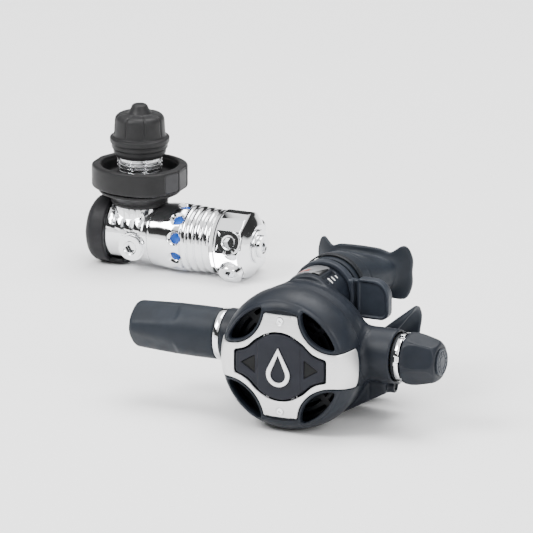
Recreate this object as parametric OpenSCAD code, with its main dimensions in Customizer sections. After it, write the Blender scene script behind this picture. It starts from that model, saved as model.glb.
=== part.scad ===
/* [Layout] */
// Way across from the DIN axis of the first stage to the middle of the second stage
stage_gap_x = 185.5; // [150:0.5:220]
// Way forward from the first stage to the second stage
stage_gap_y = 205; // [120:0.5:240]
// Height of the first stage's barrel axis above the table
first_axis_h = 17.3; // [17.3:0.1:17.3]
// Height of the second stage's air barrel above the table
second_axis_h = 36.4; // [36.4:0.1:36.4]

/* [First stage barrel] */
// Left end of the brass body, under the rubber boot
body_left = -19; // [-19.5:0.1:-18.5]
// Seam between the body and the piston barrel
seam_x = 11; // [10.8:0.1:11.2]
// Outer radius of the piston barrel
barrel_r = 17.2; // [17:0.1:17.2]
// Place of the ring of water holes
hole_x = 26.5; // [26:0.1:27]
// Number of water holes round the barrel
hole_count = 10; // [8:2:12]
// Angle of the first water hole
hole_start = 12; // [0:1:18]
// Number of grip ridges on the barrel
ridge_count = 4; // [3:1:4]
// Distance from one grip ridge to the next
ridge_pitch = 4; // [3.8:0.1:4]

/* [Turret] */
// Outer radius of the swivel turret
turret_r = 17; // [16.8:0.1:17]
// Place of the low pressure ports along the turret
port_x = 57; // [56.5:0.1:57.5]
// Angle of the upper ports above the horizontal
port_high = 17; // [15:1:19]
// Angle of the lower ports below the horizontal
port_low = -40; // [-40:1:-40]

/* [DIN connector] */
// Crest radius of the G5/8 thread
din_thread_r = 11.45; // [11.45:0.01:11.45]
// Pitch of the G5/8 thread
din_pitch = 1.814; // [1.814:0.001:1.814]
// Corner radius of the hand wheel
wheel_r = 24.7; // [24:0.1:25]
// Height of the hand wheel
wheel_h = 12; // [11:0.5:12]
// Turn of the hand wheel's grip flats away from the barrel's line
wheel_turn = -10; // [-12:1:12]

/* [Second stage case] */
// Drop of the front cover's centre below the air barrel
cover_drop = 1.4; // [1.2:0.1:1.6]
// Height of the mouthpiece neck above the air barrel
neck_z = 21.5; // [21:0.1:22]
// Outer radius of the mouthpiece neck
neck_r = 14.2; // [14:0.1:14.4]
// Right end of the case's barrel housing
case_right = 48; // [48:0.1:48]
// Left end of the case's barrel housing
case_left = -42.8; // [-42.8:0.1:-42.8]
// Radius of the barrel housing
housing_r = 13.4; // [13.2:0.1:13.6]

/* [Front cover] */
// Forward reach of the cover's middle
cover_front = 35.8; // [35.7:0.1:35.9]
// Radius of the flat dome in the middle of the cover
dome_r = 140; // [135:1:145]
// Radius at which the dome turns into the shoulder
shoulder_at = 28; // [27.9:0.1:28]
// Width of the cover's rounded shoulder
shoulder_w = 7.86; // [7.8:0.02:7.88]
// Depth of the cover's rounded shoulder
shoulder_d = 14; // [13.8:0.1:14.2]
// Radius of the round part of the purge button
button_r = 17.5; // [17:0.1:17.8]
// Half the width of the purge button
button_half = 24.5; // [24:0.1:24.8]

/* [Hose side] */
// Left end of the hose protector
sleeve_left = -93; // [-95:0.5:-92]
// Radius of the hose that the protector takes
hose_r = 6.2; // [6:0.1:6.4]

/* [Hidden] */
$fn = 72;
gap = 0.1;
// The layout's box is centred on the origin
wheel_front = 22.4;
wheel_bow = 32;
grip_turn = 12;
knob_end = 71.3;
boot_left = 25.5;
wheel_reach_y = wheel_bow - (wheel_bow - wheel_front) * cos(wheel_turn);
second_x = (boot_left + stage_gap_x - knob_end) / 2;
first_x = second_x - stage_gap_x;
bezel_lift = 1.3;
second_y = (cover_front + bezel_lift + 0.2 - stage_gap_y - wheel_reach_y) / 2;
first_y = second_y + stage_gap_y;

/* Helpers: placing, turning and sweeping */

module at_first() {
    translate([first_x, first_y, first_axis_h]) children();
}

module at_second() {
    translate([second_x, second_y, second_axis_h]) children();
}

// A profile of [radius, x] points turned about the X axis
module turn_x(points) {
    rotate([0, 90, 0]) rotate_extrude() polygon(points);
}

// A profile of [radius, y] points turned about the Y axis
module turn_y(points) {
    rotate([-90, 0, 0]) rotate_extrude() polygon(points);
}

// A round bar along X, and a ring along X
module rod_x(r, x0, x1, y = 0, z = 0) {
    translate([x0, y, z]) rotate([0, 90, 0]) cylinder(h = x1 - x0, r = r);
}

module ring_x(r_out, r_in, x0, x1) {
    difference() {
        rod_x(r_out, x0, x1);
        rod_x(r_in, x0 - 1, x1 + 1);
    }
}

module rod_y(r, y0, y1, x = 0, z = 0) {
    translate([x, y0, z]) rotate([-90, 0, 0]) cylinder(h = y1 - y0, r = r);
}

// A flat shape drawn in the X-Z plane, made thick from y0 to y1
module plate_y(y0, y1) {
    translate([0, y1, 0]) rotate([90, 0, 0]) linear_extrude(y1 - y0) children();
}

// A flat shape drawn in the Y-Z plane, made thick from x0 to x1
module plate_x(x0, x1) {
    translate([x0, 0, 0]) rotate([90, 0, 90]) linear_extrude(x1 - x0) children();
}

// Turns what stands on the front of the barrel round to an angle above the horizontal
module round_barrel(angle) {
    rotate([-angle, 0, 0]) children();
}

function arc(cx, cy, r, from, to, steps) =
    [for (i = [0:steps]) let (a = from + (to - from) * i / steps) [cx + r * cos(a), cy + r * sin(a)]];

// A torus about X: an O-ring
module oring_x(major, minor, x) {
    translate([x, 0, 0]) rotate([0, 90, 0]) rotate_extrude() translate([major, 0]) circle(minor);
}

// A coil spring along Z as one swept polyhedron
coil_sides = 8;
coil_steps = 20;

module coil(r, wire, height, turns) {
    rings = coil_steps * turns;
    rise = (height - 2 * wire) / rings;
    points = [
        for (i = [0:rings], k = [0:coil_sides - 1])
            let (
                a = 360 * i / coil_steps,
                b = -360 * k / coil_sides,
                reach = r + wire * cos(b)
            )
            [reach * cos(a), reach * sin(a), wire + rise * i + wire * sin(b)]
    ];
    sides = [
        for (i = [0:rings - 1], k = [0:coil_sides - 1])
            let (n = (k + 1) % coil_sides, p = i * coil_sides)
            [p + k, p + n, p + coil_sides + n, p + coil_sides + k]
    ];
    first_cap = [for (k = [coil_sides - 1:-1:0]) k];
    last_cap = [for (k = [0:coil_sides - 1]) rings * coil_sides + k];
    polyhedron(points, concat(sides, [first_cap, last_cap]));
}

/* First stage: body and high pressure end */

fin_count = 4;
fin_pitch = 5;
fin_first = -10;
fin_w = 3.4;
fin_r = 16.9;
fin_from = 16;
fin_to = 74;
high_x = 2.4;
high_z = -4;
high_face = 15.6;
high_thread_r = 5.55;
boss_r = 13.8;
boss_top = 15.2;
spigot_r = 12.9;
spigot_end = 16;

// A wedge from the barrel axis that keeps only the angles from a0 to a1 on the front
module front_wedge(a0, a1, x0, x1) {
    reach = 40;
    plate_x(x0, x1) polygon([
        [0, 0],
        [-reach * cos(a0), reach * sin(a0)],
        [-reach * cos((a0 + a1) / 2), reach * sin((a0 + a1) / 2)],
        [-reach * cos(a1), reach * sin(a1)]
    ]);
}

// Room for the collar's foot in what lies under it
module collar_seat() {
    translate([0, 0, boss_top]) cylinder(h = 2.6, r = 14.8);
}

module fins() {
    for (i = [0:fin_count - 1], side = [0, 1]) {
        x = fin_first + i * fin_pitch;
        mirror([0, side, 0]) intersection() {
            ring_x(fin_r, 13, x - fin_w / 2, x + fin_w / 2);
            front_wedge(fin_from, fin_to, x - fin_w, x + fin_w);
        }
    }
}

module first_stage_body() {
    color("silver") at_first() difference() {
        union() {
            turn_x([[0, body_left], [14.8, body_left], [14.7, -6], [14.6, 1], [15.2, 5.5],
                    [16, 9], [16.4, seam_x], [spigot_r, seam_x], [spigot_r, spigot_end],
                    [0, spigot_end]]);
            fins();
            intersection() {
                cylinder(h = boss_top, r = boss_r);
                translate([-20, -20, 0]) cube([20 + seam_x, 40, 20]);
            }
            rod_y(7.2, -high_face, high_face, high_x, high_z);
        }
        rod_x(9, body_left - 1, -9);
        rod_x(6.5, -9.5, 3);
        rod_x(3.1, 2, spigot_end + 1);
        rod_x(5, 5.2, 7.4);
        cylinder(h = boss_top + 1, r = 3);
        translate([0, 0, 7]) cylinder(h = boss_top, r = 6);
        collar_seat();
        for (side = [0, 1]) mirror([0, side, 0]) {
            rod_y(high_thread_r, -high_face - 1, -7.5, high_x, high_z);
            rod_y(1, -8, -2, high_x, high_z);
        }
    }
}

module seat_retainer() {
    color("silver") at_first() difference() {
        union() {
            rod_x(10.4, -21, body_left - gap);
            rod_x(8.9, body_left - 1, -9.2);
        }
        rod_x(3.6, -12, -9);
        translate([-21.1, 0, 0]) rotate([0, 90, 0]) cylinder(h = 4, r = 3.4, $fn = 6);
    }
}

module high_pressure_seat() {
    color("ivory") at_first() rod_x(3.5, -11.8, -6.6);
}

module stem_oring() {
    color("black") at_first() oring_x(4.05, 0.8, 6.3);
}

piston_head = 31;

module piston() {
    color("gainsboro") at_first() difference() {
        turn_x([[1.6, -5.4], [1.9, -5.4], [3, -3.6], [3, 29.5], [4.5, piston_head],
                [13.2, piston_head], [13.2, 32], [11.45, 32], [11.45, 34], [13.2, 34],
                [13.2, 35], [5, 35], [4, 36.2], [1.6, 36.2]]);
    }
}

module piston_oring() {
    color("black") at_first() oring_x(12.3, 0.84, 33);
}

module main_spring() {
    color("dimgray") at_first() translate([spigot_end + 0.3, 0, 0])
        rotate([0, 90, 0]) coil(8.6, 1.5, piston_head - spigot_end - 0.6, 3.5);
}

module thermal_sleeve() {
    color("dodgerblue") at_first() ring_x(13.45, 12.2, spigot_end + 0.3, 29.6);
}

/* First stage: piston barrel and turret */

ridge_first = 31;
ridge_r = 17.2;
ridge_root = 15.8;
post_r = 9;
post_end = 64.5;
barrel_end = 45.5;

// One grip ridge: a round-topped band between two hollows
function ridge(i) =
    let (x = ridge_first + i * ridge_pitch, r = ridge_r - 0.25 * i)
    concat(
        [[ridge_root, x - 1.85], [r - 0.9, x - 1.7]],
        [for (p = arc(0, 0, 1, -70, 70, 6)) [r - 0.7 + 0.7 * p[0], x + 1.35 * p[1]]],
        [[r - 0.9, x + 1.7], [ridge_root, x + 1.85]]
    );

barrel_profile = concat(
    [[13, seam_x + gap], [16.4, seam_x + gap], [16.6, 15], [barrel_r - 0.2, 19], [barrel_r, 23],
     [barrel_r, 28.2], [barrel_r - 0.3, 28.8]],
    [for (i = [0:ridge_count - 1]) each ridge(i)],
    [[ridge_root, barrel_end], [post_r, barrel_end], [post_r, 48.4], [7.4, 48.4], [7.4, 50.2],
     [post_r, 50.2], [post_r, 62], [7.4, 62], [7.4, 63.8], [post_r, 63.8], [post_r, post_end],
     [6, post_end], [6, 38], [13.5, 38], [13.5, spigot_end + 0.2], [13, spigot_end + 0.2]]
);

module piston_barrel() {
    color("silver") at_first() difference() {
        turn_x(barrel_profile);
        collar_seat();
        for (i = [0:hole_count - 1]) round_barrel(hole_start + i * 360 / hole_count) {
            rod_y(2.5, -20, -12, hole_x);
            translate([hole_x, -barrel_r - 0.1, 0]) rotate([-90, 0, 0])
                cylinder(h = 1.7, r1 = 4, r2 = 2.5);
        }
        for (i = [0:3]) round_barrel(45 + 90 * i) rod_y(2, -10, -5, port_x);
    }
}

// The turret's flats, as [middle angle, half of the angle it spans]
flats = [[port_high, 20.6], [49, 12.6], [70.5, 10.1]];

module turret_flat(angle, half) {
    round_barrel(angle) translate([49.5, -turret_r - 5, -12])
        cube([14.2, 5 + turret_r * (1 - cos(half)), 24]);
}

module turret_flats() {
    for (f = flats, side = [0, 1]) mirror([0, side, 0]) turret_flat(f[0], f[1]);
    turret_flat(90, 10.6);
}

module low_ports() {
    for (a = [port_high, port_low], side = [0, 1]) mirror([0, side, 0])
        round_barrel(a) children();
}

module turret() {
    color("silver") at_first() difference() {
        turn_x([[post_r + 0.05, barrel_end + 0.2], [15.9, barrel_end + 0.2], [16.4, 46.2],
                [16.4, 47.8], [turret_r, 48.8], [turret_r, 61.5], [16.2, 62.6], [11.4, 65.6],
                [10.6, 66], [6.1, 66], [6.1, 64.7], [post_r + 0.05, 64.7], [post_r + 0.05, 61.6],
                [10.2, 61.4], [10.2, 52.6], [post_r + 0.05, 52.4]]);
        turret_flats();
        low_ports() {
            rod_y(4.8, -20, -9.5, port_x);
            rod_y(6.3, -20, -15.8, port_x);
        }
    }
}

// A port plug with a hexagon socket, standing on the front at a given reach
module plug(shank_r, flange_r, reach, flange_h, shank_h) {
    difference() {
        union() {
            rod_y(flange_r, -reach, -reach + flange_h);
            rod_y(shank_r, -reach + flange_h - 0.01, -reach + flange_h + shank_h);
        }
        translate([0, -reach - 0.1, 0]) rotate([-90, 0, 0])
            cylinder(h = 3.2, r = 2.9, $fn = 6);
        translate([0, -reach - 0.1, 0]) rotate([-90, 0, 0]) cylinder(h = 0.7, r1 = 3.8, r2 = 3.1);
    }
}

// The lower plugs reach down to the table
low_plug_r = 6;
low_reach = (first_axis_h - low_plug_r * cos(port_low)) / sin(-port_low);

module low_pressure_plugs() {
    color("gainsboro") at_first() for (side = [0, 1]) mirror([0, side, 0]) {
        round_barrel(port_high) translate([port_x, 0, 0]) plug(4.75, 5.9, 18, 2.1, 5.6);
        round_barrel(port_low) translate([port_x, 0, 0])
            plug(4.75, low_plug_r, low_reach, low_reach - 15.89, 5.6);
    }
}

module turret_bolt() {
    color("silver") at_first() difference() {
        union() {
            rod_x(5.9, 50, 66.2);
            rod_x(8.6, 66.1, 67.5);
        }
        rod_x(1.5, 49, 62);
        rod_x(4.2, 60, 68);
    }
}

module turret_orings() {
    color("black") at_first() {
        oring_x(8.2, 0.75, 49.3);
        oring_x(8.2, 0.75, 62.9);
    }
}

module end_port_plug() {
    color("gainsboro") at_first() rotate([0, 0, 90]) plug(4.1, 5.8, 69.3, 1.7, 5.6);
}

module high_pressure_plugs() {
    color("gainsboro") at_first() for (side = [0, 1]) mirror([0, side, 0])
        translate([high_x, 0, high_z]) plug(5.45, 6.2, 17.9, 2.25, 6);
}

module end_boot() {
    color("dimgray") at_first() difference() {
        union() {
            turn_x(concat(
                [[0, -boot_left], [9, -boot_left]],
                [for (p = arc(0, 0, 1, 20, 90, 6)) [9 + 8.4 * p[1], -boot_left + 6 * (1 - p[0])]],
                [[17.6, -13.9], [17.2, -13.3], [15, -13.3], [15, -22.4], [0, -22.4]]
            ));
            intersection() {
                ring_x(17.6, 15, -13.4, -6);
                mirror([0, 0, 1]) plate_x(-13.6, -5) polygon([[0, 0], [-22, 36], [22, 36]]);
            }
        }
        translate([-30, -20, -first_axis_h - 10]) cube([30, 40, 10]);
        collar_seat();
    }
}

/* DIN connector */

wheel_bottom = 24.2;
wheel_floor = 29;
cap_bottom = 40.5;

module din_stem() {
    color("silver") at_first() difference() {
        rotate_extrude() polygon([[3.2, 7.1], [5.9, 7.1], [5.9, 15.3], [9, 15.3], [9, 17],
            [6.9, 17], [6.9, 44.2], [8.8, 44.2], [8.8, 47], [7.7, 47], [7.7, 45.9], [5.4, 45.9],
            [5.4, 47], [5, 47], [5, 36], [3.2, 36]]);
    }
}

module din_filter() {
    color("tan") at_first() translate([0, 0, 36.2]) cylinder(h = 7.6, r1 = 4.7, r2 = 1.6);
}

module filter_circlip() {
    color("gray") at_first() translate([0, 0, 44.4]) difference() {
        cylinder(h = 0.8, r = 4.9);
        translate([0, 0, -1]) cylinder(h = 3, r = 3.7);
        translate([0, -1, -1]) cube([6, 2, 3]);
    }
}

module din_face_oring() {
    color("black") at_first() translate([0, 0, 46.9])
        rotate_extrude() translate([6.55, 0]) circle(0.95);
}

module din_collar() {
    color("dimgray") at_first() difference() {
        rotate_extrude() polygon([[9.2, 15.4], [13.9, 15.4], [14.5, 16], [14.5, 17], [14.1, 17.3],
            [15.6, 19], [18.6, 21.2], [20.6, 21.8], [21.1, 22.3], [21.1, 23.2], [20.7, 23.6],
            [7.1, 23.6], [7.1, 17.2], [9.2, 17.2]]);
    }
}

thread_from = 29.4;
thread_to = 40.3;
thread_turns = 6;

// Thread crests and roots as rings, each a land with sloping flanks
module din_coupler() {
    lands = [for (i = [0:thread_turns - 1]) let (z = thread_from + i * din_pitch)
        each [[din_thread_r, z], [din_thread_r, z + 0.6], [10.5, z + 1], [10.5, z + 1.4]]];
    color("silver") at_first() rotate_extrude() polygon(concat(
        [[7, 24.3], [10.5, 24.3], [10.5, 29.2]],
        lands,
        [[11, thread_to], [11, 43.4], [10.4, 44], [7, 44]]
    ));
}

// A round wheel, a little flatter in front and behind, with two grip flats on each side
module wheel_outline(grow = 0) {
    off = wheel_bow - wheel_front;
    rotate(wheel_turn) intersection() {
        circle(wheel_r + grow);
        translate([0, off]) circle(wheel_bow + grow);
        translate([0, -off]) circle(wheel_bow + grow);
    }
}

module grip_flats() {
    flat_x = wheel_r * cos(grip_turn);
    rotate(wheel_turn) for (s = [0, 180], t = [-1, 1]) rotate(s + t * grip_turn)
        translate([flat_x, -9, wheel_bottom - 1]) cube([5, 18, wheel_h + 2]);
}

module din_handwheel() {
    color("dimgray") at_first() difference() {
        union() {
            translate([0, 0, wheel_bottom + 1.2]) linear_extrude(wheel_h - 2.2) wheel_outline();
            translate([0, 0, wheel_bottom]) linear_extrude(wheel_h) wheel_outline(-1.1);
        }
        grip_flats();
        translate([0, 0, wheel_bottom - 1]) cylinder(h = 20, r = 10.6);
        translate([0, 0, wheel_floor]) cylinder(h = 8, r1 = 18.6, r2 = 19.8);
        translate([0, 0, wheel_bottom + wheel_h - 1.6]) cylinder(h = 2, r1 = 19.4, r2 = 20.4);
    }
}

cap_flutes = 8;

module din_cap() {
    color("dimgray") at_first() difference() {
        rotate_extrude() polygon(concat(
            [[11.3, cap_bottom], [12.2, cap_bottom], [13.2, 42.4], [13.6, 44.6], [14.2, 45.2],
             [14.4, 47.2], [15.3, 48.4]],
            arc(14.7, 50.2, 0.8, -20, 60, 3),
            [[13.9, 52.2], [13.5, 53], [12.9, 59]],
            arc(9.4, 59.4, 3.2, 5, 80, 5),
            [[6, 62.4], [5.2, 62.6]],
            arc(2.4, 65.9, 1.6, 10, 90, 4),
            [[0, 67.5], [0, 50], [9.3, 50], [9.3, 44.2], [11.3, 44.2]]
        ));
        for (i = [0:cap_flutes - 1]) rotate(22.5 + i * 360 / cap_flutes)
            translate([13.9, 0, 54]) cylinder(h = 10, r = 1);
    }
}

/* Second stage: outlines of the front cover */

window_x = 27.9;
window_z = 27.7;
bezel_window_r = 19.1;
cover_window_r = 17.9;
button_window_r = 22;
screw_z = 23;

// The four circles that hollow the cover between its arms
module window_circles(r) {
    for (sx = [-1, 1], sz = [-1, 1]) translate([sx * window_x, sz * window_z]) circle(r);
}

// The purge button: round in the middle, drawn out to a short tab on each side
module button_outline(grow) {
    circle(button_r + grow);
    difference() {
        square([2 * (button_half + grow), 24.2], center = true);
        window_circles(button_window_r - grow);
    }
}

module bezel_outline() {
    difference() {
        union() {
            circle(27.3);
            intersection() {
                circle(38);
                square([80, 22], center = true);
            }
        }
        window_circles(bezel_window_r);
        button_outline(0);
        for (s = [-1, 1]) translate([0, s * screw_z]) circle(1.3);
    }
}

// The cover's outside as a profile of [radius, y] points, moved outward by lift
dome_angle = asin(shoulder_at / dome_r);
shoulder_y = dome_r - cover_front - dome_r * cos(dome_angle);
shoulder_angle = atan(tan(dome_angle) * shoulder_w / shoulder_d);
shoulder_cr = shoulder_at - shoulder_w * sin(shoulder_angle);
shoulder_cy = shoulder_y + shoulder_d * cos(shoulder_angle);

function dome_profile(lift) = concat(
    [for (p = arc(0, 0, dome_r + lift, 0, dome_angle, 6)) [p[1], dome_r - cover_front - p[0]]],
    [for (i = [1:10]) let (a = shoulder_angle + (90 - shoulder_angle) * i / 10)
        [shoulder_cr + (shoulder_w + lift) * sin(a), shoulder_cy - (shoulder_d + lift) * cos(a)]]
);

function reversed(list) = [for (i = [len(list) - 1:-1:0]) list[i]];

// A shell of the dome between two lifts, down to the level y_end
module dome_shell(outer, inner, y_end) {
    turn_y(concat(
        dome_profile(outer),
        [[shoulder_cr + shoulder_w + outer, y_end], [shoulder_cr + shoulder_w + inner, y_end]],
        reversed(dome_profile(inner))
    ));
}

module at_cover() {
    at_second() translate([0, 0, -cover_drop]) children();
}

/* Second stage: case and cover */

case_rim = -15.5;
lock_y = 3;
lock_z = -16.5;
valve_z = -20;

module case_outside() {
    translate([0, 0, -cover_drop]) turn_y([[0, case_rim], [33.4, case_rim], [34.3, -14.8],
        [34.9, -8], [34.3, -2], [32.2, 4], [28.2, 9], [22, 13.4], [14, 15.6], [0, 16.2]]);
    rod_x(housing_r, case_left, case_right);
    rod_y(neck_r, -2, 24.2, 0, neck_z);
    rod_y(13.2, 0, 36, 0, neck_z);
    plate_y(-3, 27) polygon([[-42, -8], [-42, -19], [-19, -31.6], [-14, -33.6], [14, -33.6],
        [19, -31.6], [42, -19], [42, -8]]);
    rod_x(3.2, 30, 45.4, lock_y, lock_z);
}

module case_inside() {
    translate([0, 0, -cover_drop]) turn_y([[0, case_rim - 1], [31.6, case_rim - 1], [31.6, -8],
        [31, -2], [29.2, 3], [26, 7.2], [20.6, 11.2], [13, 13.2], [0, 13.8]]);
    rod_x(9.3, case_left - 1, case_right + 1);
    rod_y(11.8, 0, 37, 0, neck_z);
    rod_y(10, 8, 28, 0, valve_z);
    rod_x(1.6, 38, 47, lock_y, lock_z);
}

// Spokes and the hub that carry the exhaust valve
module valve_seat() {
    difference() {
        union() {
            rod_y(2.8, 24.6, 27, 0, valve_z);
            for (a = [0:60:120]) translate([0, 25.8, valve_z]) rotate([0, a, 0])
                cube([21, 2.4, 1.6], center = true);
        }
        rod_y(1.6, 20, 30, 0, valve_z);
    }
}

module case() {
    color("darkslategray") at_second() {
        difference() {
            case_outside();
            case_inside();
        }
        intersection() {
            valve_seat();
            rod_y(10.5, 20, 30, 0, valve_z);
        }
    }
}

module cover_ring() {
    color("darkslategray") at_cover() difference() {
        union() {
            dome_shell(0, -2.2, -17.1);
            turn_y([[33.6, -18], [34.9, -18], [34.7, -15.7], [33.6, -15.7]]);
        }
        plate_y(-40, -24) intersection() {
            window_circles(cover_window_r);
            circle(30.6);
        }
        plate_y(-40, -20) button_outline(0);
        for (s = [-1, 1]) rod_y(1.2, -40, -25, 0, s * screw_z);
    }
}

module vent_grille() {
    color("black") at_cover() difference() {
        rod_y(32.1, -22, -20.8);
        rod_y(5.2, -30, -10);
        for (r = [19, 23, 27]) difference() {
            rod_y(r + 2.2, -30, -10);
            rod_y(r, -31, -9);
            for (a = [0:45:135]) rotate([0, a, 0]) cube([80, 80, 3], center = true);
        }
    }
}

module bezel() {
    color("lightgray") at_cover() difference() {
        intersection() {
            plate_y(-40, -20) bezel_outline();
            dome_shell(bezel_lift, 0.05, -18);
        }
        for (s = [-1, 1]) translate([0, -35.4, s * screw_z]) rotate([-90, 0, 0])
            cylinder(h = 1.4, r1 = 2.6, r2 = 1.3);
    }
}

module bezel_screws() {
    color("gray") at_cover() for (s = [-1, 1]) translate([0, 0, s * screw_z]) difference() {
        union() {
            rod_y(1.1, -34, -29);
            translate([0, -34.7, 0]) rotate([-90, 0, 0]) cylinder(h = 0.7, r1 = 1.7, r2 = 1.1);
        }
        translate([0, -34.8, 0]) rotate([-90, 0, 0]) cylinder(h = 0.6, r = 0.8, $fn = 6);
    }
}

// Triangle dents that point outward on each side of the button
module arrow_dents() {
    for (s = [0, 1]) mirror([s, 0]) polygon([[12.8, -4.4], [12.8, 4.4], [19.6, 0]]);
}

module purge_button() {
    color("darkslategray") at_cover() difference() {
        union() {
            plate_y(-35.9, -30.5) button_outline(-0.5);
            plate_y(-31, -29.6) button_outline(1.1);
            rod_y(4.5, -30, -17.4);
            plate_y(-36.6, -35.5) intersection() {
                button_outline(-0.5);
                square([22, 40], center = true);
            }
        }
        plate_y(-39, -34.8) arrow_dents();
    }
}

// The emblem: a water drop, a disc with a point above
drop_r = 6.2;
drop_tip = 13.5;
module drop_outline(shrink) {
    r = drop_r - shrink;
    touch = acos(r / (drop_tip - shrink * 1.5));
    translate([0, -3.6]) {
        circle(r);
        polygon([[-r * sin(touch), r * cos(touch)], [r * sin(touch), r * cos(touch)],
                 [0, drop_tip - shrink * 1.5]]);
    }
}

module emblem() {
    color("lightgray") at_cover() plate_y(-37.3, -36.65) difference() {
        drop_outline(0);
        translate([0, -0.2]) drop_outline(2.2);
    }
}

module purge_spring() {
    color("gray") at_cover() translate([0, -29.4, 0]) rotate([-90, 0, 0])
        coil(7.5, 0.5, 7.2, 3.5);
}

module diaphragm() {
    color("dimgray") at_cover() turn_y([[0, -16.9], [24, -16.9], [25.5, -18.3], [27.5, -18.3],
        [29.2, -17.05], [33.3, -17.05], [33.3, -15.6], [31.9, -15.6], [31.9, -16.4],
        [29, -16.4], [27.3, -17.7], [25.7, -17.7], [24.2, -16.3], [0, -16.3]]);
}

module diaphragm_plate() {
    color("silver") at_cover() rod_y(12, -16.2, -15.7);
}

lever_pivot_x = 12;
lever_pivot_y = -9.7;

// The arm that the diaphragm pushes, with a foot that draws the poppet open
module demand_lever() {
    color("silver") at_second() {
        strip = [[lever_pivot_x + 0.6, -9.3], [lever_pivot_x + 0.9, -10.6],
            [lever_pivot_x - 1, -11.6], [-3, -15.4], [-6, -15.3], [-6, -14.4], [-3, -14.5],
            [lever_pivot_x - 1.4, -10.6], [lever_pivot_x - 0.9, -5.2],
            [lever_pivot_x + 0.1, -5.2]];
        translate([0, 0, -2.5]) linear_extrude(5) {
            polygon(strip);
            translate([lever_pivot_x, lever_pivot_y]) circle(1.3);
        }
    }
}

/* Second stage: valve mechanism in the air barrel */

module air_barrel() {
    color("silver") at_second() difference() {
        ring_x(9, 7.2, -40, 47.6);
        translate([9, -12, -3.5]) cube([7, 8, 7]);
        translate([1, 0, 0]) rotate([-35, 0, 0]) cylinder(h = 12, r = 3);
    }
}

module orifice() {
    color("gainsboro") at_second() turn_x([[2.2, -40], [7.1, -40], [7.1, -16], [4.6, -14.5],
        [3, -11.4], [2.5, -10], [2.2, -10]]);
}

module poppet() {
    color("goldenrod") at_second() turn_x([[0, -9.8], [4.5, -9.8], [4.5, 12.6], [6.6, 12.6],
        [6.6, 14], [1.6, 14], [1.6, 20], [0, 20]]);
}

module poppet_spring() {
    color("gray") at_second() translate([14.3, 0, 0]) rotate([0, 90, 0]) coil(5.6, 0.5, 9.4, 5);
}

module balance_chamber() {
    color("ivory") at_second() turn_x([[1.9, 16.2], [3.6, 16.2], [3.6, 24], [0, 24], [0, 22.6],
        [1.9, 22.6]]);
}

module adjust_screw() {
    color("goldenrod") at_second() turn_x([[0, 24.1], [6.9, 24.1], [6.9, 26.4], [5.6, 26.4],
        [5.6, 28.2], [6.9, 28.2], [6.9, 30.5], [4, 30.5], [4, 62], [0, 62]]);
}

module barrel_gland() {
    color("black") at_second() turn_x([[4.3, 45.5], [7.1, 45.5], [7.1, case_right + gap],
        [11.6, case_right + gap], [11.6, 50.1], [7.3, 50.1], [7.3, 55.8], [4.3, 55.8]]);
}

module slotted_ring() {
    color("gainsboro") at_second() difference() {
        ring_x(12.4, 7.5, 50.2, 52.6);
        for (a = [20:60:320]) rotate([a, 0, 0]) translate([49, -1.3, 11]) cube([5, 2.6, 3]);
    }
}

knob_flutes = 6;
module adjust_knob() {
    color("darkslategray") at_second() difference() {
        turn_x([[4.2, 56], [9.6, 56], [9.6, 53], [12.2, 53], [12.9, 54], [13, 57], [12.4, 62],
                [11.2, 67], [10, 69.4], [8.4, 70.4], [0, 70.4], [0, 64], [4.2, 64]]);
        for (a = [0:360 / knob_flutes:359]) rotate([a, 0, 0])
            translate([60, 0, 13.6]) rotate([0, 97, 0]) cylinder(h = 9, r = 1.1);
    }
}

module knob_end_plate() {
    color("gray") at_second() rod_x(6.8, 70.5, knob_end);
}

/* Second stage: hose side */

module inlet_fitting() {
    color("silver") at_second() turn_x([[2.4, -57], [7.14, -57], [7.14, -42.7], [9.2, -42.7],
        [9.2, -40.2], [2.4, -40.2]]);
}

module inlet_ring() {
    color("gainsboro") at_second() ring_x(13, 7.4, -46, -43);
}

module hose_nut() {
    color("gainsboro") at_second() difference() {
        translate([-61, 0, 0]) rotate([0, 90, 0]) cylinder(h = 14.7, r = 10, $fn = 6);
        rod_x(7.25, -59.2, -46);
        rod_x(4.5, -62, -58);
    }
}

module hose_tail() {
    color("silver") at_second() turn_x([[2.3, -80], [3.9, -80], [4.3, -77], [3.9, -77],
        [4.3, -72], [3.9, -72], [4.3, -67], [4.3, -59.1], [6.9, -59.1], [6.9, -57.3],
        [2.3, -57.3]]);
}

sleeve_flats = 4;
module hose_protector() {
    color("darkslategray") at_second() difference() {
        turn_x(concat(
            [[hose_r, sleeve_left]],
            arc(8.2, sleeve_left + 1.3, 1.3, -90, 0, 4),
            [[10.6, sleeve_left + 12], [12, -70], [12.7, -58], [12.8, -46.3], [10.3, -46.3],
             [10.3, -62], [7.5, -62.5], [7.5, -81], [hose_r, -81]]
        ));
        for (i = [0:sleeve_flats - 1]) rotate([45 + i * 90, 0, 0])
            translate([sleeve_left + 6, -6, 0]) rotate([0, 4, 0]) translate([0, 0, 10.9])
                cube([20, 12, 5]);
    }
}

/* Second stage: neck, lever, mouthpiece and exhaust */

paddle_y0 = 16.6;
paddle_y1 = 22;

module at_neck() {
    at_second() translate([0, 0, neck_z]) children();
}

module venturi_lever() {
    color("darkslategray") at_neck() difference() {
        union() {
            rod_y(16.6, paddle_y0, paddle_y1);
            plate_y(paddle_y0, paddle_y1) {
                translate([10, -10]) square([15, 20]);
                translate([25, 0]) circle(10);
            }
        }
        rod_y(neck_r + 0.1, paddle_y0 - 1, paddle_y1 + 1);
        plate_y(paddle_y0 - 1, paddle_y0 + 1.2) {
            translate([18.5, -8.2]) square([6.5, 16.4]);
            translate([25, 0]) circle(8.2);
        }
    }
}

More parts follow.
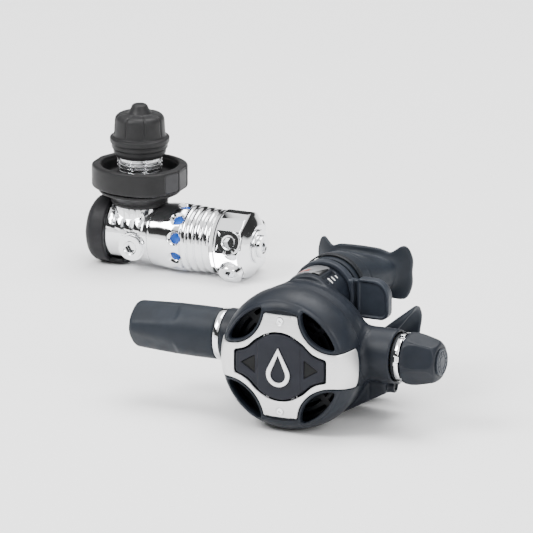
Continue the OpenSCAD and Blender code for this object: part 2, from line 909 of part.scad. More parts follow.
module venturi_vane() {
    color("gray") at_neck() {
        difference() {
            rod_y(11.7, 26, 29);
            rod_y(10.9, 25, 30);
        }
        intersection() {
            translate([3, 26.8, -6]) cube([9, 1.4, 12]);
            rod_y(11.2, 25, 30);
        }
    }
}

flange_r = 45;
flange_front = 59;
flange_t = 2.4;

// The lip flange's outline: ears at the corners and a dip on each side of the middle
module flange_outline() {
    half_w = 25.5;
    polygon([[-half_w, 0], [-half_w, 6], [-23.8, 12.4], [-21.4, 13.8], [-18, 12], [-15, 10.6],
        [-10, 12.6], [0, 13.2], [10, 12.6], [15, 10.6], [18, 12], [21.4, 13.8], [23.8, 12.4],
        [half_w, 6], [half_w, 0], [half_w, -7], [23.4, -12.6], [20.6, -13.8], [15, -12.6],
        [8, -11], [0, -10.4], [-8, -11], [-15, -12.6], [-20.6, -13.8], [-23.4, -12.6],
        [-half_w, -7]]);
}

module oval(half_w, half_h, y0, y1) {
    $fn = 32;
    r = half_h;
    for (s = [-1, 1]) rod_y(r, y0, y1, s * (half_w - r));
}

module mouthpiece() {
    color("darkslategray") at_neck() difference() {
        union() {
            rod_y(16.2, 24.4, 38);
            hull() {
                rod_y(16, 36, 38, $fn = 32);
                oval(19, 9.4, flange_front, flange_front + 1);
            }
            intersection() {
                plate_y(50, 80) flange_outline();
                translate([0, flange_front + flange_r, -20]) difference() {
                    cylinder(h = 40, r = flange_r);
                    translate([0, 0, -1]) cylinder(h = 42, r = flange_r - flange_t);
                }
            }
            for (s = [-1, 1]) translate([s * 19.5 - 4, 62, -1.6]) cube([8, 10, 3.2]);
            for (s = [-1, 1]) translate([s * 19.5 - 4, 69.6, -4.2]) cube([8, 2.4, 8.4]);
        }
        rod_y(13.3, 24, 36.3);
        hull() {
            rod_y(11.6, 36, 37, $fn = 32);
            oval(14.5, 6.4, flange_front + 3, flange_front + 4);
        }
        rod_y(6.4, 60, 64, -8.1);
        rod_y(6.4, 60, 64, 8.1);
    }
}

module mouthpiece_clamp() {
    color("black") at_neck() difference() {
        union() {
            rod_y(17.1, 27.6, 31.4);
            translate([-3, 28, -19]) cube([6, 3, 4]);
        }
        rod_y(16.25, 27, 32);
    }
}

tee_bottom = -36.4;

// One wing of the exhaust tee, from the middle out to its tall leaning mouth
mouth_half_w = 8;
mouth_half_h = 20.5;
mouth_lean = 20;

module tee_wing(shrink, past) {
    $fn = 32;
    half_w = mouth_half_w - shrink;
    half_h = mouth_half_h - shrink;
    hull() {
        translate([6, 27.1 + shrink, tee_bottom + shrink]) cube([5, 16.9 - 2 * shrink, 24 - shrink]);
        translate([34.5 + past, 43.5, -8.5]) rotate([-mouth_lean, 0, 0]) for (s = [-1, 1])
            translate([0, 0, s * (half_h - half_w)]) rotate([0, 90, 0]) cylinder(h = 2, r = half_w);
    }
}

module tee_middle(shrink) {
    translate([-10, 27.1, tee_bottom + shrink]) cube([20, 16.9 - shrink, 25 - 2 * shrink]);
}

module exhaust_tee() {
    color("darkslategray") at_second() difference() {
        union() {
            tee_middle(0);
            for (s = [0, 1]) mirror([s, 0, 0]) tee_wing(0, 0);
            difference() {
                rod_y(14.6, 27.1, 30, 0, valve_z);
                translate([-20, 20, -50]) cube([40, 20, 50 + tee_bottom]);
            }
        }
        translate([0, -0.1, 0]) rod_y(12.6, 27, 32, 0, valve_z);
        translate([-10.1, 29.1, tee_bottom + 2]) cube([20.2, 12.9, 21]);
        for (s = [0, 1]) mirror([s, 0, 0]) tee_wing(2, 1);
    }
}

module exhaust_valve() {
    color("dimgray") at_second() {
        rod_y(12, 27.2, 27.9, 0, valve_z);
        rod_y(1.4, 22, 27.3, 0, valve_z);
    }
}

module label_plate() {
    color("silver") at_neck() intersection() {
        difference() {
            rod_y(neck_r + 0.7, 2.5, 15.2);
            rod_y(neck_r + 0.05, 2, 16);
        }
        translate([-11.5, 0, 5]) cube([16, 20, 14]);
    }
}

module case_lock_pin() {
    color("gainsboro") at_second() rod_x(1.5, 39, 44.6, lock_y, lock_z);
}

first_stage_body();
seat_retainer();
high_pressure_seat();
stem_oring();
piston();
piston_oring();
main_spring();
thermal_sleeve();
piston_barrel();
turret();
turret_bolt();
turret_orings();
low_pressure_plugs();
end_port_plug();
high_pressure_plugs();
end_boot();
din_stem();
din_filter();
filter_circlip();
din_face_oring();
din_collar();
din_coupler();
din_handwheel();
din_cap();
case();
cover_ring();
vent_grille();
bezel();
bezel_screws();
purge_button();
emblem();
purge_spring();
diaphragm();
diaphragm_plate();
demand_lever();
air_barrel();
orifice();
poppet();
poppet_spring();
balance_chamber();
adjust_screw();
barrel_gland();
slotted_ring();
adjust_knob();
knob_end_plate();
inlet_fitting();
inlet_ring();
hose_nut();
hose_tail();
hose_protector();
venturi_lever();
venturi_vane();
mouthpiece();
mouthpiece_clamp();
exhaust_tee();
exhaust_valve();
label_plate();
case_lock_pin();
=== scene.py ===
import math

import bpy
import numpy as np
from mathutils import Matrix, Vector


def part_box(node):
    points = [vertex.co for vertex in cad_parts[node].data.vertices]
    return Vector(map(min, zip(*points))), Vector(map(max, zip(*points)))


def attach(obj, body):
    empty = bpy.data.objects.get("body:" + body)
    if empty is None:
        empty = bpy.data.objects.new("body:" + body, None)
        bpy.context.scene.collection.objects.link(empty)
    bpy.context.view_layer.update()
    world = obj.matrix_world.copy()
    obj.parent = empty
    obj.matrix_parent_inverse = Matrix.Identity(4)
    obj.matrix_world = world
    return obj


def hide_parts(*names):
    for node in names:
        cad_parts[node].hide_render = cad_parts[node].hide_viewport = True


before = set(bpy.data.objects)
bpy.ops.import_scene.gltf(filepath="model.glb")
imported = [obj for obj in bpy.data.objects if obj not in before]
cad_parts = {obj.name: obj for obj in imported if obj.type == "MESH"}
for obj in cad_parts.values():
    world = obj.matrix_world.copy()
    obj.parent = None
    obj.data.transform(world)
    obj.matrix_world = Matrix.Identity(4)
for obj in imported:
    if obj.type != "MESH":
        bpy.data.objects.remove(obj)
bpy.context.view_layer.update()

# ---------------------------------------------------------------------------
# First stage, machined parts: body, piston barrel, turret, plugs and DIN coupler.
# They are turned and milled from brass, polished and chromed, and screwed together.
# The machined shapes stay as they are, with a small broken edge and a mirror plate.
# ---------------------------------------------------------------------------

MM = 0.001
MACHINED_EDGE = 0.2 * MM
WELD_GAP = 0.002 * MM
CHROME_WIPES = 4.5   # mm between wipe marks
CHROME_WAVES = 6.0   # mm between polishing waves


def linear(colour):
    """A colour written as sRGB hex, in the linear values that a shader takes."""
    parts = [int(colour[i:i + 2], 16) / 255 for i in (1, 3, 5)]
    return [c / 12.92 if c <= 0.04045 else ((c + 0.055) / 1.055) ** 2.4 for c in parts] + [1]


def add(material, kind, inputs=None, **settings):
    """Adds one node to a material, with its settings and with what feeds it."""
    made = material.node_tree.nodes.new("ShaderNode" + kind)
    for name, value in settings.items():
        setattr(made, name, value)
    for socket, value in (inputs or {}).items():
        if isinstance(value, bpy.types.NodeSocket):
            material.node_tree.links.new(value, made.inputs[socket])
        else:
            made.inputs[socket].default_value = value
    return made


def new_material(name, **values):
    """A new material and its shader, with the values that are the same all over."""
    material = bpy.data.materials.new(name)
    material.use_nodes = True
    shader = material.node_tree.nodes["Principled BSDF"]
    for socket, value in values.items():
        shader.inputs[socket.replace("_", " ")].default_value = value
    return material, shader


def feed(material, shader, **links):
    """Links outputs into the shader's sockets."""
    for socket, output in links.items():
        material.node_tree.links.new(output, shader.inputs[socket.replace("_", " ")])


def ramp(node, low, high, start=0.0, end=1.0):
    """Sets a colour ramp's two ends and gives its output."""
    first, last = node.color_ramp.elements
    first.position, last.position = start, end
    first.color, last.color = low, high
    return node.outputs["Color"]


def grey(value):
    return [value, value, value, 1]


def per_mm(size):
    """A texture scale, in cells for each metre, from the size of one cell in millimetres."""
    return 1.0 / (size * MM)


def chrome_plate():
    """Chrome over polished brass: a mirror, with faint wipe marks that dull it here and there."""
    material, shader = new_material("chrome_plate", Base_Color=linear("#F0F1F3"), Metallic=1.0)
    place = add(material, "TexCoord").outputs["Object"]
    wipes = add(material, "TexNoise", {"Vector": place, "Scale": per_mm(CHROME_WIPES),
                                       "Detail": 3.0})
    dull = add(material, "ValToRGB", {"Fac": wipes.outputs["Fac"]})
    waves = add(material, "TexNoise", {"Vector": place, "Scale": per_mm(CHROME_WAVES),
                                       "Detail": 1.0})
    bump = add(material, "Bump", {"Height": waves.outputs["Fac"], "Strength": 0.02,
                                  "Distance": 0.05 * MM})
    feed(material, shader, Roughness=ramp(dull, grey(0.04), grey(0.11), 0.4, 0.75),
         Normal=bump.outputs["Normal"])
    return material


def dress(node, material, edge=MACHINED_EDGE):
    """Gives a machined node its finish, and breaks its edges."""
    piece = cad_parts[node]
    piece.data.materials.clear()
    piece.data.materials.append(material)
    weld = piece.modifiers.new("weld", "WELD")
    weld.merge_threshold = WELD_GAP
    if edge:
        bevel = piece.modifiers.new("broken_edge", "BEVEL")
        bevel.width = edge
        bevel.segments = 2
        bevel.limit_method = "ANGLE"
        bevel.angle_limit = math.radians(28)
        bevel.harden_normals = True
    return piece


chrome = chrome_plate()
for part in ("first_stage_body", "piston_barrel", "turret", "turret_bolt", "low_pressure_plugs",
             "end_port_plug", "high_pressure_plugs", "din_stem", "seat_retainer", "slotted_ring",
             "inlet_ring", "inlet_fitting", "hose_nut"):
    dress(part, chrome)
dress("din_coupler", chrome, 0.04 * MM)

# ---------------------------------------------------------------------------
# First stage, working parts seen through the water holes and the ports.
# Brass and stainless steel turnings, a bronze filter, drawn wire springs, nitrile rings,
# an acetal seat and the blue plastic sleeve that keeps the spring from the cold.
# ---------------------------------------------------------------------------

TURNING_MARK = 0.5    # mm, drawn as coarse as it needs to show
BRONZE_GRAIN = 0.35   # mm, one sintered ball
RUBBER_GRAIN = 0.3    # mm


def turned_metal(name, colour, rough):
    """Turned metal: bright, with fine tool marks that break up its glints."""
    material, shader = new_material(name, Base_Color=linear(colour), Metallic=1.0)
    place = add(material, "TexCoord").outputs["Object"]
    marks = add(material, "TexNoise", {"Vector": place, "Scale": per_mm(TURNING_MARK),
                                       "Detail": 4.0})
    shade = add(material, "ValToRGB", {"Fac": marks.outputs["Fac"]})
    bump = add(material, "Bump", {"Height": marks.outputs["Fac"], "Strength": 0.15,
                                  "Distance": 0.05 * MM})
    feed(material, shader, Roughness=ramp(shade, grey(rough - 0.07), grey(rough + 0.1), 0.3, 0.7),
         Normal=bump.outputs["Normal"])
    return material


def sintered_bronze():
    """Sintered bronze: small balls pressed together, so it is matt and pitted."""
    material, shader = new_material("sintered_bronze", Metallic=1.0, Roughness=0.55)
    place = add(material, "TexCoord").outputs["Object"]
    balls = add(material, "TexVoronoi", {"Vector": place, "Scale": per_mm(BRONZE_GRAIN)})
    shade = add(material, "ValToRGB", {"Fac": balls.outputs["Distance"]})
    bump = add(material, "Bump", {"Height": balls.outputs["Distance"], "Strength": 0.8,
                                  "Distance": 0.1 * MM})
    feed(material, shader, Base_Color=ramp(shade, linear("#B08D5E"), linear("#5E4A30")),
         Normal=bump.outputs["Normal"])
    return material


def moulded(name, colour, worn, rough, grain, depth, coat=0.0):
    """A moulded plastic or rubber: an even colour that clouds a little, a fine eroded grain
    from the mould, and a roughness that wanders where hands have polished it."""
    material, shader = new_material(name, Coat_Weight=coat, Coat_Roughness=0.25,
                                    Specular_IOR_Level=0.22)
    place = add(material, "TexCoord").outputs["Object"]
    clouds = add(material, "TexNoise", {"Vector": place, "Scale": per_mm(14.0), "Detail": 4.0,
                                        "Roughness": 0.6})
    tint = add(material, "ValToRGB", {"Fac": clouds.outputs["Fac"]})
    rubbed = add(material, "TexNoise", {"Vector": place, "Scale": per_mm(5.0), "Detail": 5.0})
    polish = add(material, "ValToRGB", {"Fac": rubbed.outputs["Fac"]})
    pits = add(material, "TexNoise", {"Vector": place, "Scale": per_mm(grain), "Detail": 2.0})
    bump = add(material, "Bump", {"Height": pits.outputs["Fac"], "Strength": 0.35,
                                  "Distance": depth * MM})
    feed(material, shader,
         Base_Color=ramp(tint, linear(colour), linear(worn), 0.35, 0.7),
         Roughness=ramp(polish, grey(rough - 0.05), grey(rough + 0.06), 0.35, 0.7),
         Normal=bump.outputs["Normal"])
    return material


brass = turned_metal("turned_brass", "#C9A15A", 0.25)
steel = turned_metal("turned_stainless_steel", "#C9CACC", 0.28)
wire = turned_metal("drawn_spring_wire", "#A9A9AB", 0.32)
nitrile = moulded("moulded_nitrile_rubber", "#0F0F10", "#151516", 0.5, RUBBER_GRAIN, 0.03)
acetal = moulded("turned_white_acetal", "#E4E2DA", "#D8D5CB", 0.35, 0.4, 0.01)
blue_polymer = moulded("moulded_blue_polymer", "#0450B8", "#0A62CE", 0.25, 0.4, 0.01, 0.6)
bronze = sintered_bronze()
for material, parts in (
        (brass, ("air_barrel", "orifice", "poppet", "adjust_screw", "hose_tail")),
        (steel, ("piston", "diaphragm_plate", "demand_lever")),
        (wire, ("main_spring", "filter_circlip", "purge_spring", "poppet_spring")),
        (nitrile, ("stem_oring", "piston_oring", "turret_orings", "din_face_oring")),
        (acetal, ("high_pressure_seat", "balance_chamber")),
        (blue_polymer, ("thermal_sleeve",)),
        (bronze, ("din_filter",))):
    for part in parts:
        dress(part, material, 0)

# ---------------------------------------------------------------------------
# First stage boot: an EPDM rubber boot, moulded in one piece and pulled over the end of
# the body, with a tongue that reaches under the body to the right.
# Its mesh is drawn from a field of distances, as all the moulded pieces below are.
# ---------------------------------------------------------------------------


def mould(name, skin, low, high, step, origin):
    """Meshes the face where the field skin(x, y, z), in millimetres from origin, is zero.
    The field is negative inside. Cells that the face crosses get one point each."""
    axes = [np.arange(low[k] - 2 * step, high[k] + 2.5 * step, step) for k in range(3)]
    shape = tuple(len(a) for a in axes)
    grid = np.meshgrid(*axes, indexing="ij", sparse=True)
    field = np.broadcast_to(skin(*grid), shape).astype(np.float64)
    cells = (shape[0] - 1, shape[1] - 1, shape[2] - 1)
    owners, places, faces = [], [], []
    for k in range(3):
        u, v = (k + 1) % 3, (k + 2) % 3
        here = [slice(None)] * 3
        there = [slice(None)] * 3
        here[k], there[k] = slice(0, -1), slice(1, None)
        a, b = field[tuple(here)], field[tuple(there)]
        at = np.array(np.nonzero((a < 0) != (b < 0)))
        fa, fb = a[tuple(at)], b[tuple(at)]
        point = np.stack([axes[m][at[m]] for m in range(3)], 1)
        point[:, k] += step * fa / (fa - fb)
        ring = []
        for du, dv in ((-1, -1), (0, -1), (0, 0), (-1, 0)):
            cell = at.copy()
            cell[u] += du
            cell[v] += dv
            ring.append((cell[0] * cells[1] + cell[1]) * cells[2] + cell[2])
            owners.append(ring[-1])
            places.append(point)
        ring = np.stack(ring, 1)
        faces.append(np.where((fa < 0)[:, None], ring, ring[:, ::-1]))
    keys, slot = np.unique(np.concatenate(owners), return_inverse=True)
    places = np.concatenate(places)
    count = np.bincount(slot)
    points = np.stack([np.bincount(slot, places[:, m]) / count for m in range(3)], 1)
    faces = np.searchsorted(keys, np.concatenate(faces))
    nudge = 0.25 * step
    for _ in range(3):
        value = skin(*points.T)
        slope = np.stack([(skin(*(points + nudge * np.eye(3)[m]).T)
                           - skin(*(points - nudge * np.eye(3)[m]).T)) / (2 * nudge)
                          for m in range(3)], 1)
        reach = value / np.maximum((slope ** 2).sum(1), 0.2)
        points -= slope * np.clip(reach, -0.6 * step, 0.6 * step)[:, None]
    mesh = bpy.data.meshes.new(name)
    mesh.from_pydata((points * MM + np.array(origin)).tolist(), [], faces.tolist())
    mesh.shade_smooth()
    piece = bpy.data.objects.new(name, mesh)
    bpy.context.scene.collection.objects.link(piece)
    return piece


def melt(a, b, r):
    """Joins two fields, with a fillet of about r where they meet."""
    h = np.clip(0.5 + 0.5 * (b - a) / r, 0, 1)
    return b + (a - b) * h - r * h * (1 - h)


def within(a, b, r=0.3):
    """What lies in both fields, with its edge rounded by about r."""
    return -melt(-a, -b, r)


def carve(a, b, r=0.3):
    """What lies in a and not in b, with its edge rounded by about r."""
    return -melt(-a, b, r)


def between(t, low, high):
    return np.maximum(low - t, t - high)


def outline(u, v, corners):
    """The distance to a closed line through corners, negative inside it."""
    u, v = np.broadcast_arrays(u, v)
    nearest = np.full(u.shape, 1e9)
    inside = np.zeros(u.shape, bool)
    for (u0, v0), (u1, v1) in zip(corners, corners[1:] + corners[:1]):
        du, dv = u1 - u0, v1 - v0
        along = np.clip(((u - u0) * du + (v - v0) * dv) / (du * du + dv * dv), 0, 1)
        nearest = np.minimum(nearest, (u - u0 - along * du) ** 2 + (v - v0 - along * dv) ** 2)
        if v0 != v1:
            inside ^= ((v0 > v) != (v1 > v)) & (u < u0 + (v - v0) * du / dv)
    return np.where(inside, -1, 1) * np.sqrt(nearest)


def swept(u, v, radius, start, end, steps):
    """Corners along a round arc, from start to end degrees."""
    turn = [math.radians(start + (end - start) * i / steps) for i in range(steps + 1)]
    return [(u + radius * math.cos(t), v + radius * math.sin(t)) for t in turn]


def place_piece(piece, body, slot, material, *nodes):
    """Gives a piece its finish, lets it ride on its body, and hides what it stands for."""
    piece.data.materials.append(material)
    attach(piece, body)
    if nodes:
        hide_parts(*nodes)
    return piece


stem_low, stem_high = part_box("din_stem")
STEM_BOTTOM = 7.1
first = Vector(((stem_low.x + stem_high.x) / 2, (stem_low.y + stem_high.y) / 2,
                stem_low.z - STEM_BOTTOM * MM))
TABLE_Z = -17.3
BOOT_R, BOOT_BORE = 17.35, 15.1
BOSS_FOOT = 15.2
boot_line = ([(-25.45, -1.0), (-25.45, 8.6)]
             + [(-19.5 + 5.95 * math.cos(math.radians(t)), 8.6 + 8.75 * math.sin(math.radians(t)))
                for t in range(165, 89, -15)]
             + [(-13.85, BOOT_R), (-13.4, 16.9), (-13.4, BOOT_BORE), (-22.3, BOOT_BORE),
                (-22.3, -1.0)])


def boot_skin(x, y, z):
    turn = np.arctan2(z, -y)
    r = np.hypot(y, z) + 0.22 * (1 - np.abs(np.cos(4 * turn)))
    shell = outline(x, r, boot_line)
    tongue = within(between(np.hypot(y, z), BOOT_BORE, BOOT_R), between(x, -16, -6), 0.6)
    tongue = within(tongue, (z + 1.15 * np.abs(y) * 36 / 22) * 0.5, 1.5)
    body = melt(shell, tongue, 0.8)
    body = carve(body, within(np.hypot(x, y) - BOOT_BORE, BOSS_FOOT - z, 0.1), 0.2)
    return within(body, TABLE_Z + 0.02 - z, 0.2)


boot_rubber = moulded("moulded_epdm_rubber", "#17171A", "#1E1E20", 0.52, 0.5, 0.04)
boot = mould("rubber_end_boot", boot_skin, (-25.8, -18, -18), (-5.5, 18, 18), 0.45, first)
place_piece(boot, "first_stage", "boot_rubber", boot_rubber, "end_boot")

# ---------------------------------------------------------------------------
# DIN connector: collar, hand wheel and protection cap.
# Glass-filled nylon, injection moulded dark grey. The wheel is pressed on the coupler and
# has two lighter overmoulded grip pads on each side. The cap pushes onto the thread.
# ---------------------------------------------------------------------------

nylon = moulded("moulded_glass_filled_nylon", "#19191A", "#202021", 0.48, 0.45, 0.03)
grip_elastomer = moulded("overmoulded_grip_elastomer", "#323234", "#39393B", 0.5, 0.5, 0.04)
dress("din_collar", nylon, 0.3 * MM)

WHEEL_TURN = math.radians(-10)
GRIP_TURN = math.radians(12)
WHEEL_R = 24.55
WHEEL_BOW = 32
WHEEL_FRONT = 22.3
WHEEL_LOW, WHEEL_TOP, WHEEL_FLOOR = 24.2, 36.2, 29.0
WHEEL_BORE = 10.6
WELL_R, WELL_DRAFT = 18.6, 0.17
LEDGE_R, LEDGE_DEPTH = 19.9, 1.7
PAD_Z, PAD_CORNER, PAD_SINK = 30.2, 1.4, 0.45
POCKET_HALF, POCKET_TALL = 4.75, 5.0
PAD_HALF, PAD_TALL = 4.6, 4.85
FLAT_AT = WHEEL_R * math.cos(GRIP_TURN)


def wheel_axes(x, y):
    """Turns a place into the wheel's own directions."""
    c, s = math.cos(WHEEL_TURN), math.sin(WHEEL_TURN)
    return x * c + y * s, y * c - x * s


def grip_places(u, v):
    """Each grip flat as (distance out of its face, distance along it)."""
    for side in (1, -1):
        for turn in (GRIP_TURN, -GRIP_TURN):
            c, s = side * math.cos(turn), side * math.sin(turn)
            yield u * c + v * s - FLAT_AT, v * c - u * s


def wheel_skin(x, y, z):
    u, v = wheel_axes(x, y)
    off = WHEEL_BOW - WHEEL_FRONT
    plan = np.hypot(u, v) - WHEEL_R
    plan = within(plan, np.hypot(u, v - off) - WHEEL_BOW, 1.5)
    plan = within(plan, np.hypot(u, v + off) - WHEEL_BOW, 1.5)
    for out, along in grip_places(u, v):
        plan = within(plan, out, 0.2)
    wheel = within(plan, between(z, WHEEL_LOW, WHEEL_TOP), 1.5)
    r = np.hypot(x, y)
    wheel = carve(wheel, r - WHEEL_BORE, 0.3)
    inner = np.hypot(u, v) - WELL_R - WELL_DRAFT * (z - WHEEL_FLOOR)
    wheel = carve(wheel, within(inner, WHEEL_FLOOR - z, 1.6), 0.7)
    wheel = carve(wheel, within(r - LEDGE_R, WHEEL_TOP - LEDGE_DEPTH - z, 0.3), 0.4)
    for out, along in grip_places(u, v):
        pocket = within(np.abs(along) - POCKET_HALF, np.abs(z - PAD_Z) - POCKET_TALL, PAD_CORNER)
        wheel = carve(wheel, within(pocket, -PAD_SINK - out, 0.1), 0.2)
    return wheel


def pads_skin(x, y, z):
    u, v = wheel_axes(x, y)
    pads = None
    for out, along in grip_places(u, v):
        pad = within(np.abs(along) - PAD_HALF, np.abs(z - PAD_Z) - PAD_TALL, PAD_CORNER)
        pad = within(pad, between(out, -1.0, -0.12), 0.35)
        pads = pad if pads is None else np.minimum(pads, pad)
    return pads


wheel_size = ((-25, -25, 24), (25, 25, 36.5))
wheel = mould("din_hand_wheel", wheel_skin, *wheel_size, 0.5, first)
place_piece(wheel, "din_wheel", "grey_plastic", nylon, "din_handwheel")
pads = mould("hand_wheel_grip_pads", pads_skin, *wheel_size, 0.4, first)
place_piece(pads, "din_wheel", "grey_plastic", grip_elastomer)

CAP_PANELS = 8
cap_line = ([(11.3, 40.55), (12.3, 40.6), (13.3, 42.2), (13.7, 44.4), (14.3, 45.1), (14.5, 47.0),
             (15.15, 48.0)] + swept(14.6, 49.9, 0.65, -10, 80, 3)
            + [(13.5, 50.9), (13.25, 51.6), (13.15, 52.4), (12.75, 58.6)]
            + swept(9.6, 59.2, 3.1, 5, 78, 5)
            + [(7.0, 62.5), (6.0, 62.8), (4.9, 64.6)]
            + swept(2.5, 65.7, 1.75, 12, 88, 5)
            + [(-1, 67.45), (-1, 50), (9.3, 50), (9.3, 44.2), (11.3, 44.2)])


def cap_skin(x, y, z):
    r = np.hypot(x, y)
    turn = np.arctan2(y, x)
    panel = np.abs((turn / (2 * math.pi / CAP_PANELS) + 0.2) % 1 - 0.5)
    cap = outline(r, z, cap_line)
    across = (0.5 - panel) * 2 * math.pi / CAP_PANELS * r
    depth = 0.55 * np.clip((z - 51.5) / 1.5, 0, 1) * np.clip((63.2 - z) / 2.0, 0, 1)
    groove = depth * np.exp(-(across / 0.42) ** 2)
    step = 0.18 * np.exp(-((z - 46.2) / 0.3) ** 2)
    return cap + groove + np.where(r > 12.5, step, 0)


cap = mould("din_protection_cap", cap_skin, (-16, -16, 40), (16, 16, 68), 0.4, first)
place_piece(cap, "din_cap_unit", "grey_plastic", nylon, "din_cap")

# ---------------------------------------------------------------------------
# Second stage case: glass-filled nylon, injection moulded in one piece with its fine
# eroded grain. The bowl, the barrel housing, the mouthpiece neck and the flat tail behind
# the exhaust run into each other with wide fillets.
# ---------------------------------------------------------------------------

barrel_low, barrel_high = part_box("air_barrel")
BARREL_LEFT = -40.0
second = Vector((barrel_low.x - BARREL_LEFT * MM, (barrel_low.y + barrel_high.y) / 2,
                 (barrel_low.z + barrel_high.z) / 2))
COVER_DROP = 1.4
NECK_Z = 21.5
NECK_R, NECK_BORE, NECK_BACK = 14.2, 11.8, 24.2
SPIGOT_R, SPIGOT_BACK = 13.2, 36
HOUSING_R, BARREL_BORE = 13.4, 9.3
HOUSING_LEFT, HOUSING_RIGHT = -42.8, 48.0
CASE_RIM = -15.6
VALVE_Z, VALVE_SEAT_R = -20.0, 10
LOCK_Y, LOCK_Z = 3.0, -16.5
LOCK_BOSS_R, LOCK_HOLE_R = 3.1, 1.7
bowl_line = [(-1, CASE_RIM), (33.4, CASE_RIM), (34.3, -14.8), (34.9, -8), (34.3, -2), (32.2, 4),
             (28.2, 9), (22, 13.4), (14, 15.6), (0, 16.2), (-1, 16.2)]
hollow_line = [(-1, -17), (31.6, -17), (31.6, -8), (31, -2), (29.2, 3), (26, 7.2),
               (20.6, 11.2), (13, 13.2), (0, 13.8), (-1, 13.8)]
tail_line = [(-42, -8), (-42, -19), (-19, -31.6), (-14, -33.5), (14, -33.5), (19, -31.6),
             (42, -19), (42, -8)]


def case_skin(x, y, z):
    from_cover = np.hypot(x, z + COVER_DROP)
    bowl = outline(from_cover, y, bowl_line)
    across = np.hypot(y, z)
    housing = within(across - HOUSING_R, between(x, HOUSING_LEFT, HOUSING_RIGHT), 1.0)
    case = melt(bowl, housing, 3.5)
    up = np.hypot(x, z - NECK_Z)
    neck = np.minimum(within(up - NECK_R, between(y, -2, NECK_BACK), 0.8),
                      within(up - SPIGOT_R, between(y, 0, SPIGOT_BACK), 0.5))
    case = melt(case, neck, 2.0)
    tail = within(outline(x, z, tail_line), between(y, -3, 27), 1.2)
    case = melt(case, tail, 2.0)
    boss = within(np.hypot(y - LOCK_Y, z - LOCK_Z) - LOCK_BOSS_R, between(x, 30, 45.3), 0.6)
    case = melt(case, boss, 1.0)
    # a line runs round the housing where the mould's slide parted
    case = carve(case, within(between(x, 33.4, 34.0), HOUSING_R - 0.35 - across, 0.1), 0.25)
    dent = outline(x, y, [(5.9, 15.4), (5.9, 2.0), (9.6, 1.2), (7.6, 14.4)])
    case = carve(case, within(dent, np.maximum(NECK_R - 1.3 - up, 18 - z), 0.1), 0.4)
    case = carve(case, within(across - 11.9, 44 - x, 0.3), 0.4)
    case = np.maximum(case, -outline(from_cover, y, hollow_line))
    case = np.maximum(case, BARREL_BORE - across)
    case = np.maximum(case, -np.maximum(up - NECK_BORE, -y))
    valve = np.hypot(x, z - VALVE_Z)
    case = np.maximum(case, -within(valve - VALVE_SEAT_R, 8 - y, 0.1))
    hole = within(np.hypot(y - LOCK_Y, z - LOCK_Z) - LOCK_HOLE_R, 38 - x, 0.1)
    return carve(case, hole, 0.3)


case_plastic = moulded("moulded_nylon_fine_grain", "#12161D", "#181D25", 0.46, 0.5, 0.035)
case = mould("second_stage_case", case_skin, (-43, -16, -36), (48, 36, 36.5), 0.7, second)
place_piece(case, "second_stage", "case_plastic", case_plastic, "case")

# ---------------------------------------------------------------------------
# Front cover: a ring of the same nylon that screws onto the case over the diaphragm.
# Four windows let water reach the diaphragm; each has a rolled lip. A stepped recess
# takes the steel bezel.
# ---------------------------------------------------------------------------

COVER_FRONT = 35.8
DOME_R = 140.0
SHOULDER_AT, SHOULDER_W, SHOULDER_D = 28.0, 7.86, 14.0
WINDOW_X, WINDOW_Z = 27.9, 27.7
WINDOW_EDGE = 30.4
COVER_LIFT, COVER_WALL = 0.85, 2.2
RING_BACK = -15.75
BUTTON_R, BUTTON_HALF, BUTTON_TALL = 17.5, 24.5, 12.1
BEZEL_WINDOW_R, COVER_WINDOW_R, BUTTON_WINDOW_R = 19.1, 17.3, 22.0
SCREW_Z, SCREW_HOLE_R = 23.0, 1.2
BEZEL_R, ARM_R, ARM_HALF = 27.3, 38, 11


def dome_line():
    """Half of the cover's outside, as (radius, y) from the middle to the back edge."""
    turn = math.asin(SHOULDER_AT / DOME_R)
    edge_y = DOME_R - COVER_FRONT - DOME_R * math.cos(turn)
    lean = math.atan(math.tan(turn) * SHOULDER_W / SHOULDER_D)
    round_r = SHOULDER_AT - SHOULDER_W * math.sin(lean)
    round_y = edge_y + SHOULDER_D * math.cos(lean)
    line = [(DOME_R * math.sin(turn * i / 12),
             DOME_R - COVER_FRONT - DOME_R * math.cos(turn * i / 12)) for i in range(13)]
    for i in range(1, 17):
        a = lean + (math.pi / 2 - lean) * i / 16
        line.append((round_r + SHOULDER_W * math.sin(a), round_y - SHOULDER_D * math.cos(a)))
    return [(-1, -COVER_FRONT)] + line + [(line[-1][0], -5), (-1, -5)]


cover_line = dome_line()


def from_dome(x, y, z):
    """How far a place stands out of the cover's dome."""
    return outline(np.hypot(x, z), y, cover_line)


def from_windows(x, z, r):
    return np.hypot(np.abs(x) - WINDOW_X, np.abs(z) - WINDOW_Z) - r


def button_plan(x, z):
    tab = within(within(np.abs(x) - BUTTON_HALF, np.abs(z) - BUTTON_TALL, 1.5),
                 -from_windows(x, z, BUTTON_WINDOW_R), 1.5)
    return melt(np.hypot(x, z) - BUTTON_R, tab, 2.5)


def bezel_plan(x, z):
    arms = within(np.hypot(x, z) - ARM_R, np.abs(z) - ARM_HALF, 0.3)
    plan = melt(np.hypot(x, z) - BEZEL_R, arms, 1.0)
    return within(plan, -from_windows(x, z, BEZEL_WINDOW_R), 0.8)


